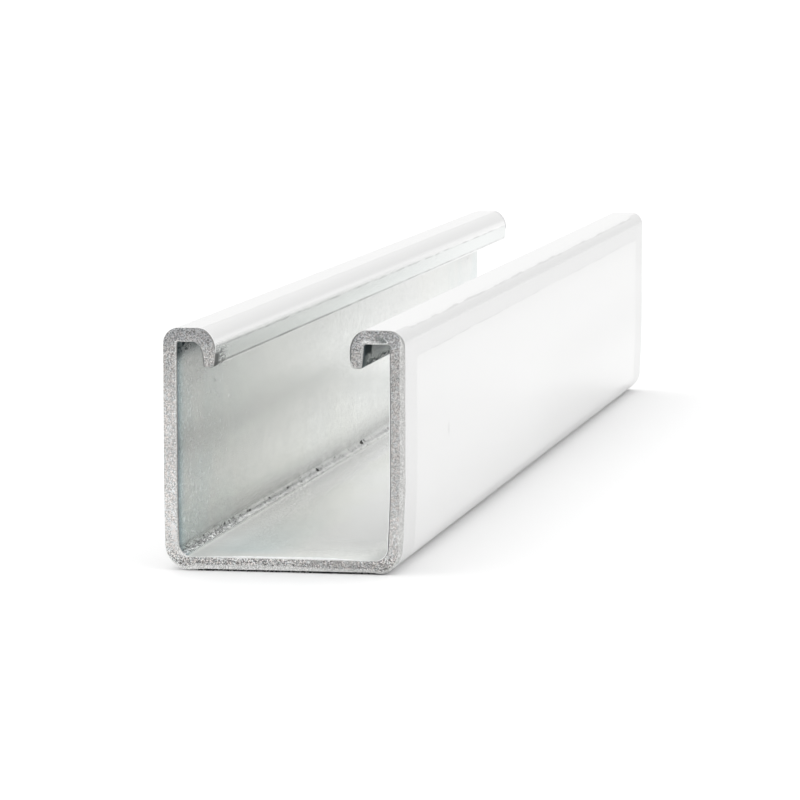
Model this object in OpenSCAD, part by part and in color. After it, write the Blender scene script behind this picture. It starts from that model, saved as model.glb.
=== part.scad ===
// Aluminium strut channel: one length of solid-back C section, lying on its web
// with the open side up. Millimetres, +Z up, length along Y, origin at the
// bottom centre.

/* [Length] */
// Length between the two saw-cut ends
channel_length = 304.8; // [50:0.1:1000]

/* [Section] */
// Outside width across the two side walls
channel_width = 41.3; // [36:0.1:60]
// Outside height from the web to the tops of the lips
channel_height = 41.3; // [20:0.1:83]
// Thickness of the web, the side walls and the tops of the lips
wall = 2.4; // [1.5:0.1:3]

/* [Lips] */
// Clear width of the slot between the two lips
slot_width = 23.2; // [18:0.1:24]
// Depth of each lip from its top down to its tip
lip_depth = 6.5; // [5:0.1:8]
// Thickness of the down-turned part of each lip
lip_wall = 2.1; // [1.5:0.1:2.6]
// Radius that rounds the two edges of each lip's tip
tip_edge_r = 0.4; // [0.1:0.1:0.7]

/* [Bends] */
// Inside radius of the bends between the web and the side walls
web_bend_r = 2.1; // [0.5:0.1:5]
// Inside radius of the bends between the side walls and the lips
top_bend_r = 0.3; // [0.1:0.1:1.5]
// Inside radius of the bends that turn the lips down
lip_bend_r = 0.9; // [0.3:0.1:1.5]

/* [Hidden] */
// Sides of a full circle
$fn = 96;
// How far a cut runs past the face that it opens
overrun = 1;
// Outside radii: each bend turns the full thickness of the metal
web_bend_outer_r = web_bend_r + wall;
top_bend_outer_r = top_bend_r + wall;
lip_bend_outer_r = lip_bend_r + lip_wall;
// Inside faces of the metal
inside_width = channel_width - 2 * wall;
inside_height = channel_height - 2 * wall;
lip_top_inside = channel_height - wall;
lip_tip = channel_height - lip_depth;
slot_edge = slot_width / 2;

// What a round of radius r takes off a square corner at the origin
module corner_waste(r) {
    difference() {
        square(r);
        translate([r, r]) circle(r);
    }
}

// Upright rectangle on the X axis, with its own radius for the low and high corners
module rounded_block(w, h, low_r, high_r) {
    difference() {
        translate([-w / 2, 0]) square([w, h]);
        for (side = [0, 1]) mirror([side, 0]) {
            translate([-w / 2, 0]) corner_waste(low_r);
            translate([-w / 2, h]) mirror([0, 1]) corner_waste(high_r);
        }
    }
}

// The web, the side walls and a closed top, before the slot is cut
module closed_tube() {
    difference() {
        rounded_block(channel_width, channel_height, web_bend_outer_r, top_bend_outer_r);
        translate([0, wall]) rounded_block(inside_width, inside_height, web_bend_r, top_bend_r);
    }
}

// The down-turned part of the lip on the +X side, with its bend
module lip_return() {
    translate([slot_edge, lip_tip]) square([lip_wall, lip_depth]);
    translate([slot_edge + lip_wall, lip_top_inside]) mirror([0, 1]) corner_waste(lip_bend_r);
}

// What is rounded off the lip on the +X side: its bend and the edges of its tip
module lip_waste() {
    translate([slot_edge, channel_height]) mirror([0, 1]) corner_waste(lip_bend_outer_r);
    translate([slot_edge, lip_tip]) corner_waste(tip_edge_r);
    translate([slot_edge + lip_wall, lip_tip]) mirror([1, 0]) corner_waste(tip_edge_r);
}

// The whole C section, with X across and Y up
module section() {
    difference() {
        union() {
            closed_tube();
            for (side = [0, 1]) mirror([side, 0]) lip_return();
        }
        translate([-slot_edge, lip_tip]) square([slot_width, lip_depth + overrun]);
        for (side = [0, 1]) mirror([side, 0]) lip_waste();
    }
}

module strut_channel() {
    color("gainsboro")
        translate([0, channel_length / 2, 0])
        rotate([90, 0, 0])
        linear_extrude(channel_length)
        section();
}

strut_channel();
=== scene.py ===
"""Dresses the packed strut channel: rolled, bent and sawn aluminium on a pale studio floor.

The section is walked as a formed strip, from the tip of one lip round to the tip of the other, so the
outside and the inside of the metal keep matching points. Metres throughout, +Z up, length along Y.
"""

import math
import random

import bmesh
import bpy
import numpy as np
from bpy.props import FloatProperty, FloatVectorProperty, IntProperty, PointerProperty
from bpy.types import Operator, Panel, PropertyGroup
from mathutils import Euler, Matrix, Vector, noise


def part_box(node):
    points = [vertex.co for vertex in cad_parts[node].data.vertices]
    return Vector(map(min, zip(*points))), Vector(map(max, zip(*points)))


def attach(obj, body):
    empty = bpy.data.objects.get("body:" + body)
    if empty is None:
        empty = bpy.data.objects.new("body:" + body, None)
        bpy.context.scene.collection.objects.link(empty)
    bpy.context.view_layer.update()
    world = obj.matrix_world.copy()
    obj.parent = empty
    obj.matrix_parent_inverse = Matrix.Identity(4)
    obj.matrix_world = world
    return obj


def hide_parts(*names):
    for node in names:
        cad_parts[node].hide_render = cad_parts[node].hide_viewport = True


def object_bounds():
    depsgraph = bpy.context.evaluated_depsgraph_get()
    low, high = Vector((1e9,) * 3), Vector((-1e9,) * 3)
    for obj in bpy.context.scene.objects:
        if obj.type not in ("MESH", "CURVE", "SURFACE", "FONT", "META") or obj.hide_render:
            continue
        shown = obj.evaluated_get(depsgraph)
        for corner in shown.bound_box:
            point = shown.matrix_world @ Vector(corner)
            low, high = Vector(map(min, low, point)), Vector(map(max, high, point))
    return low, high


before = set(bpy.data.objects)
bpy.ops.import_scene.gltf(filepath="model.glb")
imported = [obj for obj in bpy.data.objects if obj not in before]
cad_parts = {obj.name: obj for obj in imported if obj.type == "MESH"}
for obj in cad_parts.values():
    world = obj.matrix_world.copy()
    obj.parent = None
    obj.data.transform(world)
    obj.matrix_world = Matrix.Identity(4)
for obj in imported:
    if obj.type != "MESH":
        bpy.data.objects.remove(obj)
CAD_LOW, CAD_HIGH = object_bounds()
NODE_LOW, NODE_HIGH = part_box("strut_channel")

bl_info = {
    "name": "Strut Channel Finish",
    "version": (1, 0, 0),
    "blender": (4, 5, 0),
    "location": "View3D > Sidebar > Strut Channel",
    "description": "Builds the rolled, bent and sawn surfaces of an aluminium strut channel",
    "category": "Object",
}

MM = 0.001
WIDTH = NODE_HIGH.x - NODE_LOW.x
HEIGHT = NODE_HIGH.z - NODE_LOW.z
TOP = HEIGHT / MM
NEAR_END = NODE_LOW.y
FAR_END = NODE_HIGH.y
LENGTH = FAR_END - NEAR_END
MIDDLE = (NEAR_END + FAR_END) / 2

BLACK, WHITE = (0.0, 0.0, 0.0), (1.0, 1.0, 1.0)

# Stretches of the strip, by the place where each begins: from 0 at the middle of the web to 7 at a lip's tip
WEB, WEB_BEND, SIDE, TOP_BEND, LIP_TOP, LIP_BEND, LIP_RETURN = range(7)


# ---- Settings ----------------------------------------------------


def millimetres(name, description, default, low=0.0, high=1000.0):
    """A length property, given in millimetres and kept in metres."""
    return FloatProperty(
        name=name,
        description=description,
        default=default * MM,
        min=low * MM,
        max=high * MM,
        subtype="DISTANCE",
        unit="LENGTH",
        precision=5,
    )


def share(name, description, default, high=1.0):
    """A plain number from nought to high."""
    return FloatProperty(name=name, description=description, default=default, min=0.0, max=high)


def whole_number(name, description, default, low, high):
    """A whole number."""
    return IntProperty(name=name, description=description, default=default, min=low, max=high)


def tint(name, description, default):
    """A linear colour."""
    return FloatVectorProperty(
        name=name, description=description, default=default, size=3, min=0.0, max=1.0, subtype="COLOR"
    )


class SectionSizes(PropertyGroup):
    """The C section, as a strip of metal with its bends."""

    wall: millimetres("Wall", "Thickness of the web, side walls and lip tops", 2.4)
    slot_width: millimetres("Slot width", "Clear width between the two lips", 23.2)
    lip_depth: millimetres("Lip depth", "From the top of a lip down to its tip", 6.5)
    web_bend_r: millimetres("Web bend", "Inside radius between web and side walls", 2.1)
    top_bend_r: millimetres("Top bend", "Inside radius between side walls and lips", 0.3)
    roll_mark: millimetres("Roll mark", "Depth of the fine line beside each top bend", 0.035)


class LipShape(PropertyGroup):
    """One lip: how it curls over and how its tip is finished."""

    curl_across: millimetres("Curl across", "Outer curl, measured across the channel", 3.0)
    curl_down: millimetres("Curl down", "Outer curl, measured downwards", 3.8)
    pocket_across: millimetres("Pocket across", "Inner curl, measured across the channel", 1.7)
    pocket_down: millimetres("Pocket down", "Inner curl, measured downwards", 3.2)
    thickness: millimetres("Thickness", "Metal in the down-turned part, below the curl", 2.2)
    face_lean: millimetres("Face lean", "How far the slot face draws back at the tip", 0.25)
    pocket_lean: millimetres("Pocket lean", "How far the pocket face comes in at the tip", 0.1)
    face_edge_r: millimetres("Face edge", "Radius of the tip on the slot side", 0.4)
    pocket_edge_r: millimetres("Pocket edge", "Radius of the tip on the pocket side", 0.3)
    drop: millimetres("Drop", "How far the tip hangs below the nominal lip depth", 0.15)
    reach: millimetres("Reach", "How far the lip stands into the nominal slot", 0.0)


class StripMesh(PropertyGroup):
    """How finely the strip is divided."""

    step: millimetres("Step", "Spacing of points on the straight parts", 0.5, 0.1, 5.0)
    bend_points: whole_number("Bend points", "Points round each bend", 12, 4, 48)
    rows: whole_number("Rows", "Rows across the metal on a cut", 10, 2, 24)
    stations: whole_number("Stations", "Rings along the length", 58, 8, 200)
    waviness: millimetres("Waviness", "Height of the slow waves along the walls", 0.03)
    cut_relief: millimetres("Cut relief", "Height of the unevenness of a saw cut", 0.045)
    tuck: millimetres("Tuck", "How far the foot of the right wall is drawn in", 0.42)
    left_tuck: millimetres("Left tuck", "How far the foot of the left wall is drawn in", 0.14)


class FinishColors(PropertyGroup):
    """Colours and gloss of the metal."""

    outside: tint("Outside", "Rolled metal on the outside", (0.79, 0.79, 0.787))
    inside: tint("Inside", "Rolled metal on the inside", (0.865, 0.875, 0.855))
    # Turned is lighter than the outside: painted light on the slot faces of the lips, with their own cooler
    # tint
    turned: tint("Turned", "Slot faces of the lips", (0.92, 0.945, 0.935))
    bluish: tint("Bluish", "Cooler film on the inside", (0.89, 0.95, 0.965))
    cut_film: tint("Cut film", "Blue film on the inside beside a cut", (0.66, 0.82, 0.87))
    # Pocket colours the painted shade under the lips and, darker, the crumbs behind the cut
    pocket: tint("Pocket", "Dark smears under the lips", (0.125, 0.185, 0.21))
    warm: tint("Warm", "Warmer patches on the inside", (0.875, 0.88, 0.835))
    cut: tint("Cut", "Sanded metal of the saw cuts", (0.60, 0.595, 0.59))
    cut_pink: tint("Cut pink", "Warm stain on the saw cuts", (1.0, 0.972, 0.955))
    cut_cool: tint("Cut cool", "Cool stain on the saw cuts", (0.97, 0.99, 1.0))
    edge: tint("Edge", "Filed edges of the saw cuts", (0.66, 0.66, 0.65))
    grime: tint("Grime", "Dirt along the bends", (0.05, 0.052, 0.05))
    rolled_gloss: share("Rolled roughness", "Roughness of the rolled metal", 0.27)
    cut_gloss: share("Cut roughness", "Roughness of the saw cuts", 0.62)


class StudioSettings(PropertyGroup):
    """Floor, light and camera."""

    floor_radius: millimetres("Floor radius", "Radius of the studio floor", 6000.0, 500.0, 20000.0)
    sky: share("Sky", "Brightness of the white surroundings", 1.04, 10.0)
    behind: share("Behind", "Brightness of the room behind the camera", 0.62, 10.0)
    overhead: share("Overhead", "Extra brightness straight above", 0.36, 10.0)
    key: share("Key", "Power of the soft light above, in watts", 1.0, 500.0)
    lens: millimetres("Lens", "Focal length on a 36 mm wide sensor", 205.4)


# ---- The section as a strip --------------------------------------


def arc(centre, radii, angles):
    """Points on an arc that may be flattened. Angles are in degrees from +X."""
    angles = np.radians(angles)
    return np.c_[centre[0] + radii[0] * np.cos(angles), centre[1] + radii[1] * np.sin(angles)]


def line(start, end, shares):
    """Points on a line at the given shares of its length."""
    shares = np.asarray(shares)[:, None]
    return np.asarray(start) * (1 - shares) + np.asarray(end) * shares


def half_strip(size, lip, mesh):
    """One half of the section on the +X side, from the middle of the web to the tip of the lip.

    Returns the outer points, the inner points and the place of each pair along the strip.
    """
    half, wall = WIDTH / 2, size.wall
    web_r, top_r = size.web_bend_r + wall, size.top_bend_r + wall
    slot = size.slot_width / 2 - lip.reach
    pocket = slot + lip.thickness
    ceiling = HEIGHT - wall
    tip = HEIGHT - size.lip_depth - lip.drop
    mark = 0.15 * MM
    outer, inner, place = [], [], []

    def add(index, outside, inside, shares):
        outer.append(outside)
        inner.append(inside)
        place.append(index + np.asarray(shares))

    def straight(index, outside, inside):
        length = math.dist(*outside)
        shares = set(np.linspace(0, 1, max(3, round(length / mesh.step)), endpoint=False))
        if index in (SIDE, LIP_TOP):
            shares |= {mark / length, 2 * mark / length, 1 - 2 * mark / length, 1 - mark / length}
        shares = sorted(shares)
        add(index, line(*outside, shares), line(*inside, shares), shares)

    def bend(index, centre, radii, inner_centre, inner_radii, start):
        angles = np.linspace(start, start + 90, mesh.bend_points, endpoint=False)
        shares = np.linspace(0, 1, mesh.bend_points, endpoint=False)
        add(index, arc(centre, radii, angles), arc(inner_centre, inner_radii, angles), shares)

    web_centre = (half - web_r, web_r)
    top_centre = (half - top_r, HEIGHT - top_r)
    curl_centre = (slot + lip.curl_across, HEIGHT - lip.curl_down)
    pocket_centre = (pocket + lip.pocket_across, ceiling - lip.pocket_down)
    straight(WEB, ((0, 0), (web_centre[0], 0)), ((0, wall), (web_centre[0], wall)))
    bend(WEB_BEND, web_centre, (web_r, web_r), web_centre, (size.web_bend_r, size.web_bend_r), -90)
    wall_top = top_centre[1]
    straight(SIDE, ((half, web_r), (half, wall_top)), ((half - wall, web_r), (half - wall, wall_top)))
    bend(TOP_BEND, top_centre, (top_r, top_r), top_centre, (size.top_bend_r, size.top_bend_r), 0)
    straight(
        LIP_TOP,
        ((top_centre[0], HEIGHT), (curl_centre[0], HEIGHT)),
        ((top_centre[0], ceiling), (pocket_centre[0], ceiling)),
    )
    curl_radii = (lip.curl_across, lip.curl_down)
    pocket_radii = (lip.pocket_across, lip.pocket_down)
    bend(LIP_BEND, curl_centre, curl_radii, pocket_centre, pocket_radii, 90)

    # The return leans a little from the end of its curl to the start of the tip's rounding
    shares = np.linspace(0, 1, 9)
    face_end, back_end = tip + lip.face_edge_r, tip + lip.pocket_edge_r
    face = line((slot, curl_centre[1]), (slot, face_end), shares)
    face += np.c_[lip.face_lean * shares**2, 0 * shares]
    back = line((pocket, pocket_centre[1]), (pocket, back_end), shares)
    back -= np.c_[lip.pocket_lean * shares, 0 * shares]
    add(LIP_RETURN, face, back, shares * 0.9)
    turn = np.radians(np.linspace(0, 90, 7))[1:, None]
    side = np.hstack([1 - np.cos(turn), -np.sin(turn)])
    face = face[-1] + side * lip.face_edge_r
    back = back[-1] + side * np.array([-lip.pocket_edge_r, lip.pocket_edge_r])
    add(LIP_RETURN, face, back, 0.9 + 0.1 * np.linspace(0, 1, 7)[1:])
    return np.vstack(outer), np.vstack(inner), np.concatenate(place)


def whole_strip(size, left_lip, right_lip, mesh):
    """Outer points, inner points and places from the left tip (-7) to the right tip (+7)."""
    right = half_strip(size, right_lip, mesh)
    left = half_strip(size, left_lip, mesh)
    mirror = np.array([-1.0, 1.0])
    outer = np.vstack([left[0][:0:-1] * mirror, right[0]])
    inner = np.vstack([left[1][:0:-1] * mirror, right[1]])
    place = np.concatenate([-left[2][:0:-1], right[2]])
    return outer, inner, place


def outward(loop):
    """Unit normals of a closed loop that runs anticlockwise round the metal."""
    ahead = np.roll(loop, -1, axis=0) - np.roll(loop, 1, axis=0)
    normal = np.c_[ahead[:, 1], -ahead[:, 0]]
    return normal / np.linalg.norm(normal, axis=1)[:, None]


# The filed edges of a cut, by place along the strip (negative places are left of the middle): how wide
# and how deep the edge is in millimetres, and how light it is beside the cut and beside the surface. The
# lightness is partly the filed metal's own and partly painted highlight and painted shade
OUTER_EDGE = {
    -7.0: (0.10, 0.10, 0.80, 0.60), -6.1: (0.14, 0.12, 0.80, 0.50), -5.8: (0.20, 0.18, 0.50, 1.00),
    -5.5: (0.28, 0.24, 0.38, 1.45), -5.2: (0.18, 0.18, 0.50, 1.40), -4.9: (0.06, 0.06, 0.90, 0.90),
    -2.1: (0.06, 0.06, 1.00, 1.00), -1.7: (0.14, 0.10, 1.20, 1.40), -1.3: (0.55, 0.25, 1.22, 1.52),
    -1.0: (0.78, 0.28, 1.25, 1.58), -0.3: (0.80, 0.30, 1.20, 1.55), 0.0: (0.82, 0.30, 1.15, 1.52),
    0.3: (0.68, 0.28, 1.15, 1.55), 0.7: (0.50, 0.25, 1.10, 1.45), 1.1: (0.38, 0.25, 1.10, 1.30),
    1.5: (0.46, 0.50, 1.05, 1.10), 1.9: (0.60, 0.90, 1.05, 1.05), 2.2: (0.74, 1.30, 1.05, 1.00),
    2.9: (0.72, 1.30, 1.00, 0.95), 3.1: (0.56, 1.00, 1.20, 0.60), 3.4: (0.24, 0.40, 1.30, 0.35),
    3.7: (0.12, 0.10, 0.80, 0.35), 4.1: (0.06, 0.06, 0.90, 0.70), 5.1: (0.08, 0.06, 0.75, 0.60),
    5.4: (0.28, 0.14, 0.38, 0.20), 6.6: (0.28, 0.14, 0.36, 0.20), 6.9: (0.34, 0.20, 1.10, 1.20),
    7.0: (0.30, 0.20, 1.10, 1.10),
}
INNER_EDGE = {
    -7.0: (0.12, 0.10, 0.80, 0.50), -6.2: (0.24, 0.14, 0.55, 0.25), -5.6: (0.20, 0.12, 0.60, 0.28),
    -5.2: (0.10, 0.10, 1.00, 0.60), -4.6: (0.16, 0.12, 1.35, 0.90), -4.1: (0.20, 0.15, 1.30, 0.60),
    -3.9: (0.34, 0.18, 1.25, 0.26), -2.1: (0.36, 0.18, 1.25, 0.28), -1.95: (0.50, 0.30, 1.30, 0.90),
    -1.6: (0.62, 0.35, 1.25, 1.20), -1.3: (0.26, 0.20, 1.20, 1.15), -1.05: (0.10, 0.10, 1.20, 1.20),
    0.5: (0.08, 0.08, 1.30, 1.30), 0.9: (0.08, 0.08, 0.90, 0.80), 1.5: (0.10, 0.08, 0.60, 0.40),
    2.0: (0.18, 0.10, 0.48, 0.28), 3.2: (0.16, 0.10, 0.45, 0.26), 3.6: (0.10, 0.10, 0.95, 0.70),
    4.1: (0.12, 0.10, 1.00, 0.90), 4.4: (0.28, 0.26, 1.05, 1.10), 4.8: (0.60, 0.40, 1.25, 1.45),
    5.2: (0.80, 0.55, 1.25, 1.45), 5.6: (0.46, 0.36, 1.05, 1.05), 5.9: (0.34, 0.28, 0.95, 0.80),
    6.6: (0.32, 0.24, 0.92, 0.78), 7.0: (0.20, 0.15, 0.80, 0.60),
}
# How far the front of the web stands clear of the floor, in millimetres, by place along the strip
LIFT = {-1.15: 0.0, -0.85: 0.34, 0.95: 0.38, 1.2: 0.0}
# How far each ring of a filed edge has gone over, from the tone beside the cut to the tone beside the surface
RING_SHARES = (0.0, 0.1, 0.6, 1.0, 1.0)


def read_off(table, place, column=None):
    """Values of a table at each place."""
    stops = sorted(table)
    return np.interp(place, stops, [table[stop] if column is None else table[stop][column] for stop in stops])


def unevenness(x, y, z):
    """Smooth unevenness in space, from -1 to 1."""
    return noise.noise(Vector((x, y, z)))


def hand_work(place, seed):
    """Unevenness of hand filing, around one."""
    slow = [unevenness(9.0 * p, seed, 0.0) for p in place]
    quick = [unevenness(31.0 * p, seed, 7.0) for p in place]
    return 1 + 0.28 * (np.array(slow) + 0.6 * np.array(quick))


def filed_edge(table, place, seed):
    """Width, depth and the two tones of the filed edge at each place, one column each."""
    uneven = hand_work(place, seed)
    width = read_off(table, place, 0) * uneven * MM
    depth = read_off(table, place, 1) * uneven * MM
    return np.c_[width, depth, read_off(table, place, 2), read_off(table, place, 3)]


def edge_rings(width, depth, lift):
    """The rings of a filed edge from the cut backwards: how far each is inset and how deep it lies."""
    return [
        (lift + width, 0 * depth),
        (lift + 0.80 * width, 0.15 * depth),
        (lift + 0.30 * width, 0.55 * depth),
        (lift, depth),
        (0 * lift, depth + 0.4 * MM + 18 * lift),
    ]


# ---- Node helpers ------------------------------------------------


class Graph:
    """Short calls for adding linked nodes to a tree."""

    def __init__(self, tree):
        self.tree = tree
        self.column = 0

    def add(self, kind, **settings):
        node = self.tree.nodes.new(kind)
        self.column += 1
        node.location = (180 * (self.column % 12), -160 * (self.column // 12))
        inputs = settings.pop("inputs", {})
        for name, value in settings.items():
            setattr(node, name, value)
        for name, value in inputs.items():
            self.feed(node.inputs[name], value)
        return node

    def feed(self, socket, value):
        if isinstance(value, bpy.types.NodeSocket):
            self.tree.links.new(value, socket)
        elif hasattr(value, "__len__") and socket.type == "RGBA" and len(value) == 3:
            socket.default_value = (*value, 1.0)
        else:
            socket.default_value = value

    def math(self, operation, a, b=0.0, c=0.0, clamp=False):
        node = self.add("ShaderNodeMath", operation=operation, use_clamp=clamp, inputs={0: a, 1: b, 2: c})
        return node.outputs[0]

    def times(self, first, *others):
        """The values multiplied together."""
        for other in others:
            first = self.math("MULTIPLY", first, other)
        return first

    def plus(self, first, *others):
        """The values added up."""
        for other in others:
            first = self.math("ADD", first, other)
        return first

    def largest(self, first, *others):
        """The largest of the values."""
        for other in others:
            first = self.math("MAXIMUM", first, other)
        return first

    def minus(self, a, b):
        """A value less another."""
        return self.math("SUBTRACT", a, b)

    def fade(self, length, low, high, to_low=0.0, to_high=1.0):
        """A smooth step of a length, between a low and a high given in millimetres."""
        return self.ramp(length, low * MM, high * MM, to_low, to_high)

    def fall(self, length, low, high):
        """A smooth step down from one to nought, between a low and a high given in millimetres."""
        return self.fade(length, low, high, 1.0, 0.0)

    def inverse(self, value):
        """One minus a value."""
        return self.math("SUBTRACT", 1.0, value)

    def apart(self, a, b):
        """How far a value lies from another, either way."""
        return self.math("ABSOLUTE", self.minus(a, b))

    def lay(self, color, over, *shares):
        """A colour laid over another, as strongly as the shares multiplied together."""
        return self.mix(self.times(*shares), color, over)

    def stain(self, color, tone, *shares):
        """A colour multiplied by a tone, as strongly as the shares multiplied together."""
        return self.mix(self.times(*shares), color, tone, "MULTIPLY")

    def ramp(self, value, low, high, to_low=0.0, to_high=1.0):
        """A smooth step of a value from low to high."""
        node = self.add(
            "ShaderNodeMapRange",
            interpolation_type="SMOOTHSTEP",
            inputs={"Value": value, "From Min": low, "From Max": high, "To Min": to_low, "To Max": to_high},
        )
        return node.outputs["Result"]

    def curve(self, value, stops):
        """A level read off a line through stops, each a value in millimetres and its level."""
        low, high = min(stops) * MM, max(stops) * MM
        share = self.math("DIVIDE", self.minus(value, low), high - low)
        node = self.add("ShaderNodeValToRGB", inputs={0: share})
        elements = node.color_ramp.elements
        while len(elements) < len(stops):
            elements.new(0.5)
        for element, stop in zip(elements, sorted(stops)):
            element.position = (stop * MM - low) / (high - low)
            element.color = (*[stops[stop]] * 3, 1.0)
        return node.outputs["Color"]

    def shade(self, color, level):
        """A colour times a level."""
        return self.mix(1.0, color, level, "MULTIPLY")

    def mix(self, factor, a, b, blend_type="MIX"):
        node = self.add("ShaderNodeMix", data_type="RGBA", blend_type=blend_type, inputs={0: factor})
        self.feed(node.inputs[6], a)
        self.feed(node.inputs[7], b)
        return node.outputs[2]

    def place(self):
        """The object's own coordinates, and each of them."""
        coords = self.add("ShaderNodeTexCoord").outputs["Object"]
        parts = self.add("ShaderNodeSeparateXYZ", inputs={0: coords})
        return coords, parts.outputs

    def noise(self, vector, scale, detail=2.0, roughness=0.5, stretch=(1, 1, 1), shift=(0, 0, 0)):
        if tuple(stretch) != (1, 1, 1) or tuple(shift) != (0, 0, 0):
            settings = {"Vector": vector, "Scale": stretch, "Location": shift}
            vector = self.add("ShaderNodeMapping", inputs=settings).outputs[0]
        settings = {"Vector": vector, "Scale": scale, "Detail": detail, "Roughness": roughness}
        return self.add("ShaderNodeTexNoise", inputs=settings).outputs["Fac"]

    def bump(self, height, strength, distance):
        settings = {"Height": height, "Strength": strength, "Distance": distance}
        return self.add("ShaderNodeBump", inputs=settings).outputs["Normal"]

    def group(self, name, **values):
        """One of the shared groups, with its own values. Returns its outputs."""
        node = self.add("ShaderNodeGroup", node_tree=shared_group(name))
        for label, value in values.items():
            self.feed(node.inputs[label.capitalize()], value)
        return node.outputs

    def closeness(self, reach):
        """How close a point is to the nearer cut: one at the cut, fading to nought at the reach in metres."""
        return self.group("near a cut", reach=reach)["Closeness"]


def new_group(name, inputs, outputs):
    """A shader node group with named inputs, each with its default, and named outputs.

    Returns its graph, the sockets that give its inputs and the sockets that take its outputs.
    """
    tree = bpy.data.node_groups.new(name, "ShaderNodeTree")
    for label, value in inputs.items():
        socket = tree.interface.new_socket(name=label, in_out="INPUT", socket_type="NodeSocketFloat")
        socket.default_value = value
    for label in outputs:
        tree.interface.new_socket(name=label, in_out="OUTPUT", socket_type="NodeSocketFloat")
    graph = Graph(tree)
    source = graph.add("NodeGroupInput").outputs
    sink = graph.add("NodeGroupOutput").inputs
    return graph, source, sink


def mottle_group():
    """Cloudy blotches of thin oxide, and finer spots."""
    sizes = {"Blotch": 90.0, "Spot": 900.0}
    graph, source, sink = new_group("oxide mottle", sizes, ("Blotches", "Spots"))
    coords, _ = graph.place()
    blotch = graph.noise(coords, source["Blotch"], detail=3.0, roughness=0.55)
    spot = graph.noise(coords, source["Spot"], detail=2.0, roughness=0.6, shift=(0.31, 0.17, 0.05))
    graph.feed(sink["Blotches"], graph.ramp(blotch, 0.32, 0.68))
    graph.feed(sink["Spots"], graph.ramp(spot, 0.35, 0.72))
    return graph.tree


def roll_line_group():
    """Fine lines left along the length by the rolls."""
    graph, source, sink = new_group("roll lines", {"Fineness": 700.0}, ("Lines",))
    coords, _ = graph.place()
    lines = graph.noise(coords, source["Fineness"], detail=4.0, roughness=0.65, stretch=(1, 0.018, 1))
    graph.feed(sink["Lines"], graph.ramp(lines, 0.3, 0.7))
    return graph.tree


def end_distance_group():
    """How close a point is to the nearer saw cut: one at the cut, fading to nought at a reach."""
    graph, source, sink = new_group("near a cut", {"Reach": 0.01}, ("Closeness",))
    _, (_, y, _) = graph.place()
    off_middle = graph.apart(y, MIDDLE)
    from_end = graph.minus(LENGTH / 2, off_middle)
    graph.feed(sink["Closeness"], graph.ramp(from_end, 0.0, source["Reach"], 1.0, 0.0))
    return graph.tree


def band_group():
    """A soft-edged band of a value, and thin broken lines along both of its edges."""
    limits = {"Value": 0.0, "Low": 0.0, "High": 1.0}
    graph, source, sink = new_group("edged band", limits, ("Band", "Lines"))
    coords, _ = graph.place()
    wander = graph.times(graph.minus(graph.noise(coords, 90.0, detail=3.0), 0.5), 0.0005)
    value = graph.plus(source["Value"], wander)
    above = graph.ramp(graph.minus(value, source["Low"]), -0.0001, 0.0001)
    below = graph.ramp(graph.minus(source["High"], value), -0.0001, 0.0001)
    graph.feed(sink["Band"], graph.times(above, below))
    lines = 0.0
    for edge in ("Low", "High"):
        away = graph.apart(value, source[edge])
        lines = graph.plus(lines, graph.ramp(away, 4e-05, 0.00022, 1.0, 0.0))
    broken = graph.ramp(graph.noise(coords, 260.0, detail=3.0, stretch=(1, 0.5, 1)), 0.38, 0.60)
    graph.feed(sink["Lines"], graph.math("MULTIPLY", lines, broken, clamp=True))
    return graph.tree


def grain_group():
    """Fine sanded grain: a tone from nought to one, a height, fine flecks and a slow drift of tint."""
    outputs = ("Tone", "Height", "Flecks", "Tint")
    graph, source, sink = new_group("sanded grain", {"Grain": 5600.0}, outputs)
    coords, _ = graph.place()
    cells = graph.add("ShaderNodeTexVoronoi", inputs={"Vector": coords, "Scale": source["Grain"]})
    crumbs = graph.add("ShaderNodeSeparateColor", inputs={"Color": cells.outputs["Color"]}).outputs
    coarse = graph.noise(coords, graph.times(source["Grain"], 0.35), detail=2.0, shift=(0.2, 0.1, 0.4))
    patches = graph.ramp(coarse, 0.36, 0.64)
    drift = graph.noise(coords, graph.times(source["Grain"], 0.2), detail=3.0, shift=(0.7, 0.3, 0.1))
    crisp = graph.ramp(crumbs[0], 0.12, 0.88)
    tone = graph.plus(graph.times(crisp, 0.88), graph.times(patches, 0.12))
    graph.feed(sink["Tone"], tone)
    graph.feed(sink["Height"], graph.noise(coords, source["Grain"], detail=0.0))
    graph.feed(sink["Flecks"], crumbs[1])
    graph.feed(sink["Tint"], graph.ramp(drift, 0.36, 0.64))
    return graph.tree


def shared_group(name):
    """Each shared group, built the first time that a material asks for it."""
    makers = {
        "oxide mottle": mottle_group,
        "roll lines": roll_line_group,
        "near a cut": end_distance_group,
        "edged band": band_group,
        "sanded grain": grain_group,
    }
    return bpy.data.node_groups.get(name) or makers[name]()


def new_material(name, metallic, roughness):
    """A material with its graph and its Principled shader."""
    material = bpy.data.materials.new(name)
    material.use_nodes = True
    tree = material.node_tree
    tree.nodes.clear()
    graph = Graph(tree)
    shader = graph.add("ShaderNodeBsdfPrincipled", inputs={"Metallic": metallic, "Roughness": roughness})
    graph.add("ShaderNodeOutputMaterial", inputs={"Surface": shader.outputs["BSDF"]})
    return material, graph, shader.inputs


# ---- Materials ---------------------------------------------------


# Painted light and shade on the outer side walls, by millimetres from the floor
OUTER_LEVELS = {0: 1.04, 6: 1.05, 12: 1.03, 18: 0.99, 24: 0.96, 33: 0.94, 36: 0.90, 38: 0.93, TOP: 1.0}


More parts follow.
